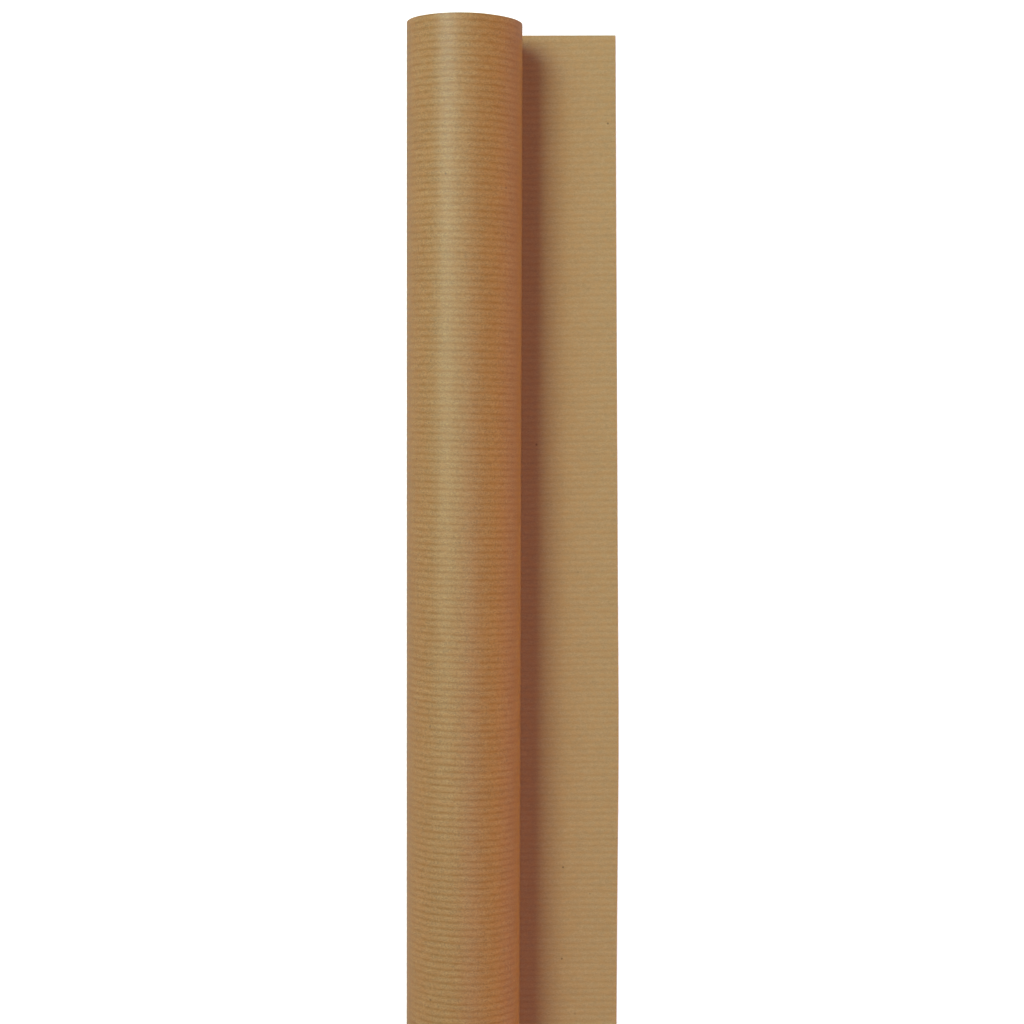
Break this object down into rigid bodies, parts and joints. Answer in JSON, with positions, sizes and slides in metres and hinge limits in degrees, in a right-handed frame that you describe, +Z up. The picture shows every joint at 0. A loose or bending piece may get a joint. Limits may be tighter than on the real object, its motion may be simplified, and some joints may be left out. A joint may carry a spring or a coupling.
{
  "type": "wrapping paper roll",
  "caption": "Roll of brown ribbed kraft wrapping paper on a spiral-wound board tube, lying with its free end run out flat beside it.",
  "frame": {"origin": "on the table, straight below the middle of the roll's axis, on the underside of the web where it leaves the roll", "axes": "+Y along the roll, +Z up, +X the way the free end of the paper runs out"},
  "size_m": [0.0928, 0.7, 0.05],
  "materials": {
    "kraft_paper": "ribbed, unbleached, one side slightly glazed",
    "tube_board": "grey-brown recycled board, uncoated"
  },
  "bodies": {
    "laid_web": {"runoff_strip": "kraft_paper", "flat_web": "kraft_paper"},
    "free_end": {"free_edge": "kraft_paper"},
    "roll": {"wound_paper": "kraft_paper"},
    "tube": {"tube_inner_ply": "tube_board", "tube_middle_ply": "tube_board", "tube_outer_ply": "tube_board"}
  },
  "joints": [
    {"name": "roll_spin", "type": "hinge", "parent": "laid_web", "child": "roll", "pos_m": [0, 0, 0.02535], "axis": [0, -1, 0], "range_deg": [-105, 360]},
    {"name": "paper_feed", "type": "slide", "parent": "laid_web", "child": "free_end", "axis": [1, 0, 0], "range_m": [-0.046, 0.1572], "deforming": ["flat_web"]},
    {"name": "tube_slip", "type": "slide", "parent": "roll", "child": "tube", "axis": [0, 1, 0], "range_m": [-0.6, 0.6]}
  ],
  "couplings": [
    {"joint": "paper_feed", "follows": "roll_spin", "m_per_rad": 0.025}
  ]
}
